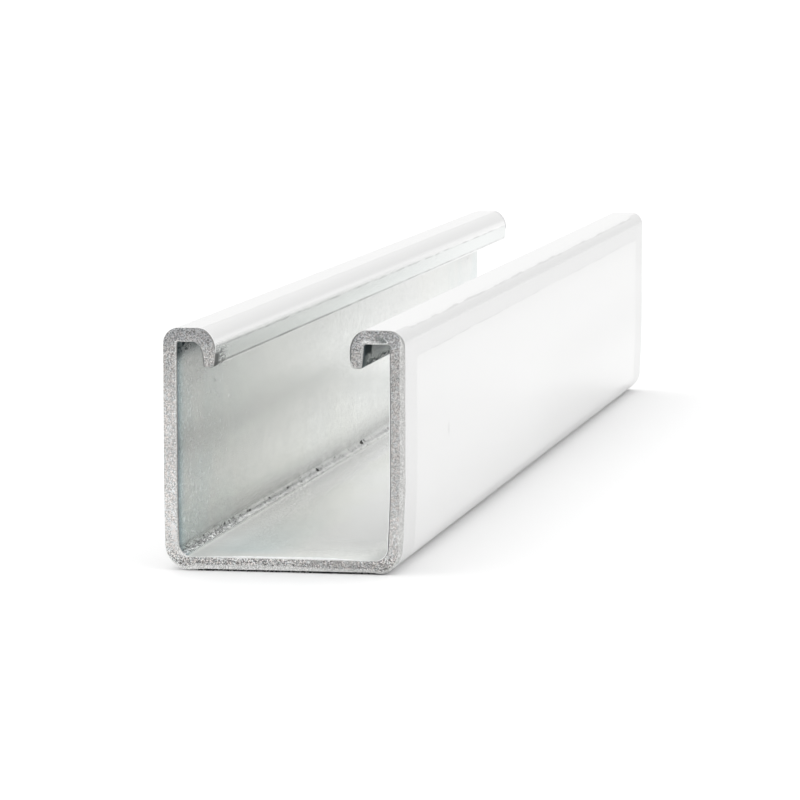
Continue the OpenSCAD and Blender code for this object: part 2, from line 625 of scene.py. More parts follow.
def rolled_outside(finish, size):
    """Mill-finish aluminium on the outside: even, with faint blotches, roll lines and painted shade on the
    bends.
    """
    material, graph, shader = new_material("rolled_outside", 1.0, finish.rolled_gloss)
    coords, (x, y, z) = graph.place()
    mottle = graph.group("oxide mottle", blotch=75.0, spot=520.0)
    lines = graph.group("roll lines", fineness=620.0)
    base = finish.outside
    color = graph.mix(graph.times(mottle["Blotches"], 0.5), base * 0.996, base * 1.004)
    color = graph.lay(color, base * 0.8, lines["Lines"], 0.03)

    # Painted light and shade: the side walls are lightest near the foot and darkest below the top bends, and
    # elsewhere the metal is a little darker on the left
    off_side = graph.math("ABSOLUTE", x)
    on_wall = graph.ramp(off_side, WIDTH / 2 - 2.0 * MM, WIDTH / 2 - 1.4 * MM)
    color = graph.mix(
        on_wall,
        graph.shade(color, graph.ramp(x, -0.01, 0.01, 0.985, 1.0)),
        graph.shade(color, graph.curve(z, OUTER_LEVELS)),
    )

    # The top bends were drawn over a roll: painted shade in a band over them, with a broken line at each side
    band = graph.group("edged band", value=z, low=HEIGHT - 5.4 * MM, high=HEIGHT - 0.55 * MM)
    color = graph.lay(color, base * 0.8, band["Band"], on_wall, 0.7)
    color = graph.lay(color, base * 0.62, band["Lines"], on_wall, 0.5)

    # The lips: painted shade on the curl and a painted highlight where it ends, then the return, painted
    # lighter, below a thin broken line, with painted shade along its lower edge above the tip
    slot = size.slot_width / 2
    curl = graph.group("edged band", value=off_side, low=slot - 1 * MM, high=slot + 2.5 * MM)
    curl_shade = graph.times(curl["Band"], graph.fade(x, 0.0, 1, 0.85, 0.35))
    color = graph.lay(color, base * 0.86, curl_shade, graph.fade(z, TOP - 2.6, TOP - 2.0))
    on_lip = graph.ramp(off_side, slot + 0.4 * MM, slot + 0.6 * MM, 1.0, 0.0)
    on_lip = graph.times(on_lip, graph.ramp(z, HEIGHT * 0.7, HEIGHT * 0.8))
    curl_end_highlight = graph.fall(z, TOP - 2.8, TOP - 1.6)
    color = graph.lay(color, base * 1.08, curl_end_highlight, on_lip)
    turned = graph.group("edged band", value=z, low=HEIGHT - 6.1 * MM, high=HEIGHT - 3.3 * MM)
    # The return is painted lighter, most near the cuts and least at the far end: painted light on its own
    # tint
    lit_return = graph.mix(graph.closeness(0.035), finish.turned * 0.97, finish.turned * 0.91)
    lit_return = graph.shade(lit_return, graph.ramp(y, NEAR_END + 80 * MM, FAR_END, 0.99, 0.86))
    color = graph.lay(color, lit_return, turned["Band"], on_lip)
    color = graph.lay(color, base * 0.5, turned["Lines"], on_lip, 0.65)
    # Painted shade along the lower edge of the return, above the tip, fading along the length and broken up
    tip = graph.apart(z, HEIGHT - size.lip_depth + 0.42 * MM)
    on_tip = graph.fall(tip, 0.1, 0.3)
    tip_shade_fade = graph.times(
        graph.ramp(y, NEAR_END, FAR_END, 0.75, 0.2),
        graph.ramp(graph.noise(coords, 160.0, detail=3.0), 0.35, 0.6, 0.55, 1.0),
    )
    on_tip = graph.times(on_tip, on_lip, tip_shade_fade)
    color = graph.lay(color, finish.grime * 4, on_tip)

    # A duller strip where the end was clamped for the cut
    clamped = graph.ramp(graph.closeness(0.0145), 0.0, 0.12)
    color = graph.lay(color, base * 0.84, clamped, on_wall, graph.fade(z, 24, 34, 0.5, 0.95))

    # Soot on the returns right behind the cut: a solid edge, then scattered specks
    crumbs = graph.noise(coords, 3000.0, detail=1.0, stretch=(1, 0.22, 1))
    height = graph.plus(z, graph.times(crumbs, 0.8 * MM))
    solid = graph.ramp(graph.closeness(0.0068), 0.25, 0.75)
    solid = graph.times(solid, graph.fall(height, TOP - 4.1, TOP - 3.7))
    specks = graph.times(graph.ramp(crumbs, 0.44, 0.53), graph.fall(z, TOP - 4.0, TOP - 3.4))
    specks = graph.times(specks, graph.ramp(graph.closeness(0.0115), 0.05, 0.6), 0.8)
    near_half = graph.math("LESS_THAN", y, MIDDLE)
    soot = graph.times(graph.largest(solid, specks), on_lip, near_half)
    color = graph.lay(color, finish.grime * 1.2, soot, 0.92)

    # Away from the cuts the bend at the foot carries painted shade, and further in the lower walls are
    # darker. The right wall has one short upright scuff.
    foot = graph.times(graph.fall(z, 2.8, 4.2), graph.inverse(graph.closeness(0.1)))
    color = graph.lay(color, base * 0.86, foot, on_wall)
    side = graph.times(graph.ramp(y, NEAR_END + 120 * MM, NEAR_END + 200 * MM, 0.0, 0.06), on_wall)
    color = graph.lay(color, BLACK, side, graph.fall(z, 18, 28))
    beside_it = graph.fall(graph.apart(y, NEAR_END + 43.6 * MM), 0.3, 1.0)
    along_it = graph.fall(graph.apart(z, 20.1 * MM), 0.5, 1.5)
    scuff = graph.times(beside_it, along_it, graph.math("GREATER_THAN", x, 0.0))
    color = graph.lay(color, base * 0.6, scuff, 0.4)

    # Painted shade in the gap under the raised front of the web
    under = graph.times(graph.fall(z, 0.02, 0.3), graph.ramp(graph.closeness(0.008), 0.1, 0.5))
    color = graph.lay(color, finish.grime * 0.6, under, 0.95)
    graph.feed(shader["Base Color"], color)
    # Soot and the painted shade in the gap are both rough and not metallic
    soot_and_gap_shade = graph.largest(soot, under)
    gloss = (finish.rolled_gloss,) * 3
    graph.feed(shader["Roughness"], graph.mix(soot_and_gap_shade, gloss, (0.9, 0.9, 0.9)))
    graph.feed(shader["Metallic"], graph.mix(soot_and_gap_shade, WHITE, BLACK))
    return material


# Painted light and shade on the inside, by millimetres from the floor: along the web bends, then up the side
# walls
BEND_LEVELS = {
    2.40: 1.0, 2.60: 0.93, 2.75: 0.80, 3.00: 0.62, 3.25: 0.66, 3.50: 0.77, 3.90: 0.68, 4.50: 0.74,
    5.00: 0.79, 6.00: 0.89, 8.00: 0.98,
}
WALL_LEVELS = {
    8: 1.0, 13: 1.01, 18: 0.91, 21: 0.81, 24: 0.84, 26: 0.85, 30: 0.80, 33: 0.78, 36: 0.62, 39: 0.46,
}
# From the left bend to the right bend, by millimetres from the middle: the web's painted light and shade
WEB_LEVELS = {-16: 1.27, -13: 1.27, -10: 1.14, -6: 1.14, -2: 1.18, 2: 1.24, 10: 1.28, 14: 1.14, 15.5: 0.95}
# Its roughness
WEB_GLOSS = {-16: 0.26, -12: 0.25, -6: 0.15, 8: 0.14, 14: 0.24, 16: 0.26}
# How far behind a cut it is dulled by fine saw dust, in metres
WEB_DUST = {-16: 0.240, -13: 0.200, -10: 0.120, -6: 0.068, -2: 0.048, 2: 0.036, 10: 0.032, 16: 0.040}
# How much painted shade darkens it right behind a cut
WEB_NEAR_CUT_SHADE = {-16: 0.24, -13: 0.24, -10: 0.17, -7: 0.06, -2: 0.07, 2: 0.06, 6: 0.0, 13: 0.0, 16: 0.20}


def rolled_inside(finish, size):
    """The inside: cloudier and a little green, blue beside the cuts, with grime along the bends and painted
    light and shade.
    """
    material, graph, shader = new_material("rolled_inside", 1.0, finish.rolled_gloss)
    coords, (x, y, z) = graph.place()
    mottle = graph.group("oxide mottle", blotch=190.0, spot=1500.0)
    clouds = graph.group("oxide mottle", blotch=34.0, spot=420.0)
    lines = graph.group("roll lines", fineness=700.0)
    base = finish.inside
    color = graph.mix(graph.times(clouds["Blotches"], 0.6), base * 1.04, base * 0.95)
    warm = graph.ramp(graph.noise(coords, 22.0, detail=1.0, shift=(0.0, 0.37, 0.2)), 0.42, 0.62)
    color = graph.lay(color, finish.warm, warm, 0.6)
    color = graph.lay(color, base * 0.86, mottle["Blotches"], 0.25)
    color = graph.lay(color, base * 0.8, mottle["Spots"], 0.22)
    color = graph.lay(color, base * 1.12, clouds["Spots"], 0.2)
    color = graph.lay(color, base * 0.82, lines["Lines"], 0.1)

    # Painted light and shade along the bends, the walls and the web. Painted shade also falls low on the
    # walls away from the cuts, high up under the lips a little way behind a cut, and on the web right behind
    # a cut. The walls near a cut are darker in a band at 22 mm, and the painted light and shade low in the
    # bends is broken up
    near_half = graph.math("LESS_THAN", y, MIDDLE)
    beside = graph.ramp(z, size.wall + 0.04 * MM, size.wall + 0.24 * MM)
    up_wall = graph.shade(graph.curve(z, BEND_LEVELS), graph.curve(z, WALL_LEVELS))
    right_bend = graph.times(graph.fade(x, 15.7, 16.4), graph.fade(z, 3.0, 4.5, 0.28, 0.0))
    up_wall = graph.shade(up_wall, graph.inverse(right_bend))
    color = graph.shade(color, graph.mix(beside, graph.curve(x, WEB_LEVELS), up_wall))
    afar = graph.inverse(graph.closeness(0.09))
    shaded = graph.times(graph.fade(z, 3.6, 10, 0.16, 0.0), afar)
    under_lip_reach = graph.minus(graph.closeness(0.048), graph.closeness(0.018))
    under_lip = graph.times(graph.fade(z, 29, 33, 0.0, 0.22), under_lip_reach)
    low_band = graph.fade(graph.apart(z, 22 * MM), 0.0, 4, 0.13, 0.0)
    low_band = graph.times(low_band, graph.closeness(0.035))
    shaded = graph.plus(shaded, under_lip, low_band)
    near_cut_shade = graph.times(graph.curve(x, WEB_NEAR_CUT_SHADE), graph.closeness(0.024))
    color = graph.lay(color, BLACK, graph.mix(beside, near_cut_shade, shaded))
    uneven = graph.noise(coords, 420.0, detail=2.0, stretch=(1, 0.5, 1), shift=(0.2, 0.5, 0.1))
    low_down = graph.times(graph.fall(z, 3.6, 6), beside)
    color = graph.lay(color, graph.shade(color, graph.ramp(uneven, 0.34, 0.66, 0.86, 1.08)), low_down)

    # Pale chalky flecks, which are rarer further in, and dark marks beside the near cut
    near = graph.times(graph.closeness(0.06), graph.ramp(beside, 0.0, 1.0, 0.25, 1.0), near_half)
    marks = graph.noise(coords, 1300.0, detail=1.5, roughness=0.6, stretch=(1, 0.8, 1), shift=(0.6, 0.2, 0.9))
    rarer = graph.times(graph.inverse(near), 0.17)
    pale = graph.ramp(graph.minus(marks, rarer), 0.56, 0.61)
    color = graph.lay(color, graph.shade(color, (1.22, 1.22, 1.21)), pale, 0.5)
    chalk = graph.times(pale, beside, 0.45)
    dark = graph.times(graph.ramp(marks, 0.37, 0.43, 1.0, 0.0), near)
    color = graph.lay(color, graph.shade(color, (0.86, 0.87, 0.88)), dark, 0.6)

    # Bluish film: strong on the walls beside a cut, weaker further in, with one cool patch on the web
    film = graph.ramp(graph.noise(coords, 55.0, detail=2.0, shift=(0.4, 0.02, 0.1)), 0.34, 0.60)
    film = graph.times(graph.closeness(0.075), film, beside)
    color = graph.stain(color, finish.bluish, film, 0.85)
    patch = graph.fall(graph.apart(x, -7.5 * MM), 1, 10)
    patch = graph.times(patch, graph.minus(graph.closeness(0.07), graph.closeness(0.01)))
    color = graph.stain(color, (0.85, 0.94, 0.97), graph.mix(beside, patch, BLACK))
    sawn_side = graph.times(beside, near_half)
    edge_film = graph.times(graph.closeness(0.0065), sawn_side)
    color = graph.stain(color, finish.cut_film, edge_film, 0.9)
    # A dark line of painted shade on the walls right behind the cut edge
    cut_edge_shade = graph.times(graph.closeness(0.003), sawn_side)
    color = graph.stain(color, (0.28, 0.36, 0.44), cut_edge_shade, 0.8)

    # Grime in the web bends: a thin ragged line, with crumbs and pale chips about it that thin out inwards
    halfway = graph.apart(z, size.wall + 0.62 * MM)
    ragged = graph.times(graph.minus(graph.noise(coords, 1400.0, detail=3.0), 0.5), 0.7 * MM)
    streak = graph.fall(graph.plus(halfway, ragged), 0.03, 0.36)
    patchy = graph.ramp(graph.noise(coords, 170.0, detail=3.0, shift=(0, 0.09, 0)), 0.40, 0.62)
    grime = graph.times(streak, graph.plus(0.12, graph.times(patchy, 0.6)))
    color = graph.lay(color, finish.grime * 3, grime, beside)
    crumbs = graph.noise(coords, 3500.0, detail=1.0, stretch=(1, 0.26, 1))
    in_bend = graph.times(graph.fade(z, 2.5, 2.75), graph.fall(z, 2.9, 4.0))
    in_bend = graph.times(in_bend, graph.plus(0.22, graph.times(graph.closeness(0.075), 0.78)))
    pale = graph.times(graph.ramp(crumbs, 0.54, 0.6), in_bend)
    color = graph.lay(color, (0.95, 0.95, 0.95), pale, 0.6)
    dark = graph.times(graph.ramp(crumbs, 0.38, 0.46, 1.0, 0.0), in_bend)
    color = graph.lay(color, finish.grime * 2.0, dark, 0.85)

    # Painted shade under the lips, uneven and a little weaker under the right one
    right = graph.math("GREATER_THAN", x, 0.0)
    height = graph.plus(z, graph.times(right, 1.8 * MM))
    sheltered = graph.fade(height, TOP - 6.4, TOP - 4.2)
    uneven_shade = graph.ramp(
        graph.noise(coords, 900.0, detail=4.0, roughness=0.7, stretch=(1, 0.25, 1)), 0.4, 0.58
    )
    strength = graph.plus(0.24, graph.times(uneven_shade, 0.3))
    strength = graph.times(strength, graph.mix(right, WHITE, (0.84, 0.84, 0.84)))
    color = graph.lay(color, finish.pocket, sheltered, strength)

    # Black and green crumbs high up right behind the cut, and along the tip of the right lip
    specks = graph.noise(coords, 2600.0, detail=2.0, stretch=(1, 0.22, 1), shift=(0.1, 0.0, 0.3))
    blots = graph.noise(coords, 900.0, detail=3.0, stretch=(1, 0.2, 1), shift=(0.4, 0.0, 0.7))
    high_up = graph.fade(graph.plus(z, graph.times(blots, 2.0 * MM)), TOP - 3.9, TOP - 3.3)
    behind = graph.ramp(graph.minus(graph.closeness(0.011), graph.closeness(0.004)), 0.12, 0.35)
    in_right = graph.times(right, high_up, behind, 0.85)
    in_left = graph.times(high_up, graph.ramp(graph.closeness(0.013), 0.1, 0.7))
    in_left = graph.times(in_left, graph.ramp(specks, 0.5, 0.58), graph.inverse(right))
    strip = graph.times(graph.closeness(0.0065), sheltered, 0.55)
    tip_edge = graph.times(graph.fall(z, TOP - 6.0, TOP - 5.2), graph.ramp(specks, 0.46, 0.56))
    tip_edge = graph.times(tip_edge, sheltered, right, 0.6)
    crusted = graph.largest(in_right, in_left, strip, tip_edge)
    crusted = graph.times(crusted, near_half)
    color = graph.lay(color, finish.pocket * 0.32, crusted)
    graph.feed(shader["Base Color"], color)
    rough = graph.plus(finish.rolled_gloss - 0.06, graph.times(mottle["Spots"], 0.06))
    rough = graph.mix(beside, graph.curve(x, WEB_GLOSS), rough)
    graph.feed(shader["Roughness"], graph.mix(crusted, rough, (0.7, 0.7, 0.7)))
    clean = graph.inverse(graph.closeness(graph.curve(x, WEB_DUST)))
    bare = graph.mix(beside, clean, WHITE)
    half_clean = graph.times(bare, graph.inverse(bare))
    powder = graph.ramp(graph.noise(coords, 6000.0, detail=0.0), 0.3, 0.7, -1.3, 1.3)
    bare = graph.plus(bare, graph.times(half_clean, powder))
    coated = graph.largest(graph.times(crusted, 0.6), chalk)
    graph.feed(shader["Metallic"], graph.mix(coated, bare, BLACK))
    graph.feed(shader["Normal"], graph.bump(mottle["Spots"], 0.06, 0.00004))
    return material


# How light a saw cut is and how strong its grain, by millimetres of height
CUT_LEVELS = {
    0: 1.10, 0.4: 1.12, 0.8: 0.96, 1.15: 0.85, 1.7: 0.85, 2.05: 0.96, 2.5: 1.0, 3: 1.05, 8: 1.16, 20: 0.96,
    31: 0.93, 34: 0.84, 38.5: 0.775, 39.6: 0.72, TOP: 0.68,
}
CUT_GRAIN = {0: 1.65, 2.3: 1.6, 4: 0.68, 28: 0.72, 36: 1.05, TOP: 1.2}
# How light a cut is from left to right, and how light its lips are besides
CUT_ACROSS = {-20: 1.10, -12: 1.04, 12: 0.94, 20: 0.92}
LIP_ACROSS = {-15: 0.88, 15: 1.12}


def sawn(finish):
    """A saw cut that has been sanded: grey and grainy, darker near the top and along the web."""
    material, graph, shader = new_material("sawn_metal", 1.0, finish.cut_gloss)
    coords, (x, y, z) = graph.place()
    grain = graph.group("sanded grain", grain=8000.0)
    mottle = graph.group("oxide mottle", blotch=160.0, spot=1500.0)
    color = graph.shade(graph.curve(z, CUT_LEVELS), finish.cut)
    color = graph.shade(color, graph.curve(x, CUT_ACROSS))
    lips = graph.shade(graph.shade(color, graph.curve(x, LIP_ACROSS)), (0.985, 1.0, 1.02))
    color = graph.lay(color, lips, graph.fade(z, 37.5, 39))
    cloud = graph.mix(mottle["Blotches"], (0.94, 0.94, 0.94), (1.06, 1.06, 1.06))
    color = graph.shade(color, cloud)
    color = graph.shade(
        color, graph.mix(grain["Tint"], finish.cut_pink, finish.cut_cool)
    )
    color = graph.shade(color, graph.mix(grain["Flecks"], (1.02, 0.995, 0.98), (0.98, 1.005, 1.02)))
    swing = graph.times(graph.minus(grain["Tone"], 0.5), graph.curve(z, CUT_GRAIN))

    # A smooth pale rub down the lower left of the near cut
    near_cut = graph.math("LESS_THAN", y, MIDDLE)
    from_x = graph.plus(x, WIDTH / 2 - 1.75 * MM)
    from_z = graph.minus(z, 6.1 * MM)
    along = graph.plus(graph.times(from_x, 0.275), graph.times(from_z, -0.961))
    aside = graph.plus(graph.times(from_x, 0.961), graph.times(from_z, 0.275))
    rub = graph.fall(graph.math("ABSOLUTE", along), 1.2, 2.6)
    rub = graph.times(rub, graph.fall(graph.math("ABSOLUTE", aside), 0.2, 0.6))
    rub = graph.times(rub, near_cut)
    swing = graph.times(swing, graph.ramp(rub, 0.0, 1.0, 1.0, 0.3))
    color = graph.shade(color, graph.plus(graph.ramp(rub, 0.0, 1.0, 1.0, 1.14), swing))

    # A torn nick in the right lip of the near cut: painted shade in its hollow, with a painted highlight on
    # its rim towards the side wall
    across = graph.minus(x, WIDTH / 2 - 3.9 * MM)
    up = graph.minus(z, HEIGHT - 1.6 * MM)
    along = graph.plus(graph.times(across, 0.93), graph.times(up, -0.37))
    aside = graph.plus(graph.times(across, 0.37), graph.times(up, 0.93))
    ragged = graph.times(graph.minus(graph.noise(coords, 2600.0, detail=2.0), 0.5), 1.2)
    length = graph.math("POWER", graph.math("DIVIDE", along, 1.05 * MM), 2.0)
    breadth = graph.math("POWER", graph.math("DIVIDE", aside, 0.36 * MM), 2.0)
    oval = graph.plus(length, breadth, ragged)
    rim_highlight = graph.times(graph.ramp(oval, 1.7, 1.35, 0.0, 1.0), graph.fade(along, 0.0, 0.9))
    hollow_shade = graph.times(graph.ramp(oval, 1.2, 0.9, 0.0, 1.0), near_cut)
    color = graph.lay(color, (0.85, 0.86, 0.86), rim_highlight, near_cut)
    color = graph.lay(color, graph.mix(grain["Tone"], (0.1, 0.11, 0.11), (0.44, 0.46, 0.45)), hollow_shade)
    graph.feed(shader["Base Color"], color)
    graph.feed(shader["Normal"], graph.bump(grain["Height"], 0.35, 0.0001))
    return material


def filed(finish):
    """The filed edges of the cuts, lighter or darker by the tone that the mesh carries: partly the filed
    metal's own, partly painted highlight and painted shade.
    """
    material, graph, shader = new_material("filed_edge", 1.0, finish.cut_gloss - 0.12)
    grain = graph.group("sanded grain", grain=8400.0)
    edge = finish.edge
    color = graph.mix(grain["Tone"], edge * 0.62, edge * 1.12)
    tone = graph.add("ShaderNodeAttribute", attribute_name="edge_tone").outputs["Fac"]
    graph.feed(shader["Base Color"], graph.shade(color, tone))
    graph.feed(shader["Normal"], graph.bump(grain["Height"], 0.35, 0.00006))
    return material


def burr():
    """Thin torn metal left by the saw: bright and crisp."""
    material, graph, shader = new_material("torn_burr", 0.1, 0.5)
    grain = graph.group("sanded grain", grain=3000.0)
    graph.feed(shader["Base Color"], graph.mix(grain["Tone"], (0.93, 0.94, 0.94), WHITE))
    return material


def grit_and_gap_shade(finish):
    """Dry dark grit, which also makes the chips that paint a deeper shadow under the raised ends of the web.
    """
    material, graph, shader = new_material("bend_grit_and_gap_shade", 0.0, 0.85)
    grain = graph.group("sanded grain", grain=5200.0)
    grime = finish.grime
    graph.feed(shader["Base Color"], graph.mix(grain["Tone"], grime * 0.6, grime * 2.6))
    graph.feed(shader["Normal"], graph.bump(grain["Height"], 0.5, 0.0001))
    return material


# ---- Meshes ------------------------------------------------------


def link(name, mesh, materials):
    """Puts a mesh into the scene with its materials."""
    piece = bpy.data.objects.new(name, mesh)
    for material in materials:
        mesh.materials.append(material)
    bpy.context.scene.collection.objects.link(piece)
    return piece


def take_mesh(work, name):
    """The mesh that was worked on, under a name of its own."""
    mesh = bpy.data.meshes.new(name)
    work.to_mesh(mesh)
    work.free()
    return mesh


# Order of the channel's materials
OUTSIDE, INSIDE, SAWN, FILED = range(4)
# Rows of faces that are filed at each end, how far the first plain ring lies behind a cut, and how far
# behind that ring the slow waves are back at full height
FILED_ROWS = 3
LEAD = 5 * MM
WAVES_GROW = 12 * MM
# How wide the fine lines beside the top bends are
MARK_WIDTH = 0.13 * MM
# Faces that meet at a larger angle than this keep a crisp edge between them
CRISP_ANGLE = math.radians(24)


def body_rings(mesh):
    """Distances from the near end of the rings between the two filed edges, closer together near the cuts."""
    shares = np.linspace(0, 1, mesh.stations)
    ease = shares - 0.55 * np.sin(2 * np.pi * shares) / (2 * np.pi)
    return LEAD + (LENGTH - 2 * LEAD) * ease


def foot_shift(x, z, mesh):
    """How far along X the foot of each side wall, its bend and the edge of the web are drawn in.

    They move fully up to a height of 5 mm and not at all above 16 mm, and the web from 6 mm off its middle.
    """
    low = np.clip((16 * MM - z) / (11 * MM), 0, 1)
    outer = np.clip((np.abs(x) - 6 * MM) / (10 * MM), 0, 1)
    return -np.where(x > 0, mesh.tuck, -mesh.left_tuck) * low**1.5 * outer * outer * (3 - 2 * outer)


def wave(x, y, z):
    """Slow unevenness of the rolled walls, from -1 to 1."""
    return unevenness(31.0 * x, 17.0 * y, 31.0 * z) + 0.4 * unevenness(90.0 * x, 60.0 * y, 90.0 * z)


def round_the_metal(outer, inner, rows):
    """Values along the outside, on round the right tip, back along the inside and round the left tip."""
    across = np.linspace(0, 1, rows + 1)[1:-1, None]
    right_tip = outer[-1] * (1 - across) + inner[-1] * across
    left_tip = inner[0] * (1 - across) + outer[0] * across
    return np.vstack([outer, right_tip, inner[::-1], left_tip])


def strip_mesh(size, left_lip, right_lip, mesh):
    """The whole channel as one closed mesh."""
    outer, inner, place = whole_strip(size, left_lip, right_lip, mesh)
    for points in (outer, inner):
        points[:, 0] += foot_shift(points[:, 0], points[:, 1], mesh)
    count, rows = len(outer), mesh.rows
    loop = round_the_metal(outer, inner, rows)
    ring = len(loop)
    normal = outward(loop)

    # Fine lines beside the top bends, pressed into the outside
    for stop in (TOP_BEND, LIP_TOP):
        for side in (-1, 1):
            mark = outer[np.argmin(abs(place - side * stop))]
            pressed = np.exp(-((np.linalg.norm(outer - mark, axis=1) / MARK_WIDTH) ** 2))
            loop[:count] -= normal[:count] * (size.roll_mark * pressed)[:, None]

    edges = filed_edge(OUTER_EDGE, place, 1.0), filed_edge(INNER_EDGE, place, 5.0)
    width, depth, by_cut, by_surface = round_the_metal(*edges, rows).T
    lift = np.zeros(ring)
    lift[:count] = read_off(LIFT, place) * MM

    edge = edge_rings(width, depth, lift)
    tone = [by_cut * (1 - part) + by_surface * part for part in RING_SHARES]
    rings = [(inset, NEAR_END + deep, level, 0.0) for (inset, deep), level in zip(edge, tone)]
    for along in body_rings(mesh):
        fade = min(1.0, (min(along, LENGTH - along) - LEAD) / WAVES_GROW)
        rings.append((0 * width, NEAR_END + along + 0 * width, tone[-1], fade * mesh.waviness))
    rings += [(inset, FAR_END - deep, level, 0.0) for (inset, deep), level in zip(edge[::-1], tone[::-1])]

    points, tones = [], []
    for inset, along, shade, fade in rings:
        flat = loop - normal * inset[:, None]
        for index in range(ring):
            x, z = flat[index]
            if fade:
                shift = fade * (wave(x, along[index], z) - 1.0) * 0.5
                x, z = x + normal[index, 0] * shift, z + normal[index, 1] * shift
            points.append((x, along[index], z))
        tones.extend(shade)
    stations = len(rings)

    faces, kinds = [], []
    for station in range(stations - 1):
        filed_row = station < FILED_ROWS or station >= stations - 1 - FILED_ROWS
        for index in range(ring):
            after = (index + 1) % ring
            low, high = station * ring, (station + 1) * ring
            faces.append((low + index, low + after, high + after, high + index))
            rolled = OUTSIDE if index < count + rows else INSIDE
            kinds.append(FILED if filed_row else rolled)

    # The two cuts, as rows across the metal
    middle_rows = np.arange(1, rows)
    for station, sign in ((0, 1.0), (stations - 1, -1.0)):
        ids = np.zeros((count, rows + 1), int)
        first = station * ring
        ids[:, 0] = first + np.arange(count)
        ids[:, rows] = first + ring - rows - np.arange(count)
        ids[0, 1:rows] = first + ring - middle_rows
        ids[-1, 1:rows] = first + count - 1 + middle_rows
        for index in range(1, count - 1):
            outside, inside = Vector(points[ids[index, 0]]), Vector(points[ids[index, rows]])
            for row in middle_rows:
                spot = outside.lerp(inside, row / rows)
                spot.y += sign * cut_depth(spot.x, spot.z, station) * mesh.cut_relief
                ids[index, row] = len(points)
                points.append(tuple(spot))
                tones.append(1.0)
        for here, after in zip(ids, ids[1:]):
            for row in range(rows):
                faces.append((here[row], here[row + 1], after[row + 1], after[row]))
                kinds.append(SAWN)

    result = bpy.data.meshes.new("strut_channel_skin")
    result.from_pydata(points, [], faces)
    result.polygons.foreach_set("material_index", kinds)
    work = bmesh.new()
    work.from_mesh(result)
    bmesh.ops.recalc_face_normals(work, faces=work.faces)
    work.to_mesh(result)
    work.free()
    result.attributes.new("edge_tone", "FLOAT", "POINT").data.foreach_set("value", tones)
    result.shade_smooth()
    result.set_sharp_from_angle(angle=CRISP_ANGLE)
    return result


def cut_depth(x, z, seed):
    """Unevenness of a cut, nought to about one, always into the metal."""
    slow = unevenness(420.0 * x, seed, 420.0 * z)
    quick = unevenness(1500.0 * x, seed + 3.0, 1500.0 * z)
    return max(0.0, 0.5 + 0.6 * slow + 0.35 * quick)


class STRUT_OT_channel(Operator):
    """Build the channel itself in place of the plain solid"""

    bl_idname = "strut.build_channel"
    bl_label = "Channel"

    def execute(self, context):
        scene = context.scene
        size, mesh, finish = scene.strut_section, scene.strut_mesh, scene.strut_finish
        materials = [rolled_outside(finish, size), rolled_inside(finish, size), sawn(finish), filed(finish)]
        skin = strip_mesh(size, scene.strut_left_lip, scene.strut_right_lip, mesh)
        channel = link("strut_channel_body", skin, materials)
        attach(channel, "root")
        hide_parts("strut_channel")
        return {"FINISHED"}


# Radius in millimetres of the torn bead along the inner edge of a cut, by place along the strip
BURR = {
    -0.95: 0.0, -0.85: 0.03, -0.6: 0.10, -0.4: 0.16, 0.34: 0.20, 0.55: 0.17, 0.75: 0.08, 0.9: 0.02, 1.1: 0.03,
    1.4: 0.07, 2.7: 0.07, 2.85: 0.0,
}
# The same along the outer edge, on the curl of the left lip
LIP_BURR = {-6.2: 0.0, -5.95: 0.05, -5.2: 0.06, -4.9: 0.0}


def bead(work, path, out, radii, y, into):
    """A thin bead along a path in the plane of a cut. Into is the way into the metal's length, +1 or -1."""
    sides = 8
    rings = []
    for (x, z), (nx, nz), radius in zip(path, out, radii):
        ring = []
        for turn in np.linspace(0, math.tau, sides, endpoint=False):
            away, back = radius * (0.7 + math.cos(turn)), radius * (1 + math.sin(turn))
            ring.append(work.verts.new((x + nx * away, y + into * back, min(z + nz * away, HEIGHT))))
        rings.append(ring)
    for low, high in zip(rings, rings[1:]):
        for index in range(sides):
            after = (index + 1) % sides
            work.faces.new((low[index], low[after], high[after], high[index]))
    work.faces.new(rings[0][::-1])
    work.faces.new(rings[-1])


class STRUT_OT_burrs(Operator):
    """Leave thin bright burrs along the inner edges of the two cuts"""

    bl_idname = "strut.build_burrs"
    bl_label = "Saw burrs"

    def execute(self, context):
        scene = context.scene
        size, mesh = scene.strut_section, scene.strut_mesh
        outer, inner, place = whole_strip(size, scene.strut_left_lip, scene.strut_right_lip, mesh)
        inner[:, 0] += foot_shift(inner[:, 0], inner[:, 1], mesh)
        work = bmesh.new()
        for path, out, table in ((inner, -outward(inner), BURR), (outer, outward(outer), LIP_BURR)):
            kept = (place > min(table)) & (place < max(table))
            for seed, y, into in ((2.0, NEAR_END, 1), (6.0, FAR_END, -1)):
                radii = read_off(table, place[kept]) * np.maximum(0.15, hand_work(3 * place[kept], seed)) * MM
                bead(work, path[kept], out[kept], radii, y, into)
        bmesh.ops.recalc_face_normals(work, faces=work.faces)
        beads = take_mesh(work, "saw_burrs")
        beads.shade_smooth()
        burrs = link("saw_burrs", beads, [burr()])
        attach(burrs, "root")
        return {"FINISHED"}


# Larger specks along each web bend: distance from the near end and size, in millimetres
BIG_SPECKS = [(54, 0.5), (71, 0.34), (87, 0.42), (115, 0.55), (160, 0.8), (205, 0.4), (248, 0.5)]


def bend_spot(size, mesh, side, turn, along):
    """A point on the inside of a web bend and the way out of the metal there.

    Turn goes from 0 degrees at the web to 90 at the side wall.
    """
    angle = math.radians(turn)
    reach = Vector((side * math.sin(angle), 0, -math.cos(angle)))
    inset = size.wall + size.web_bend_r
    centre = Vector((side * (WIDTH / 2 - inset), NEAR_END + along, inset))
    spot = centre + reach * size.web_bend_r
    spot.x += float(foot_shift(spot.x, spot.z, mesh))
    return spot, -reach


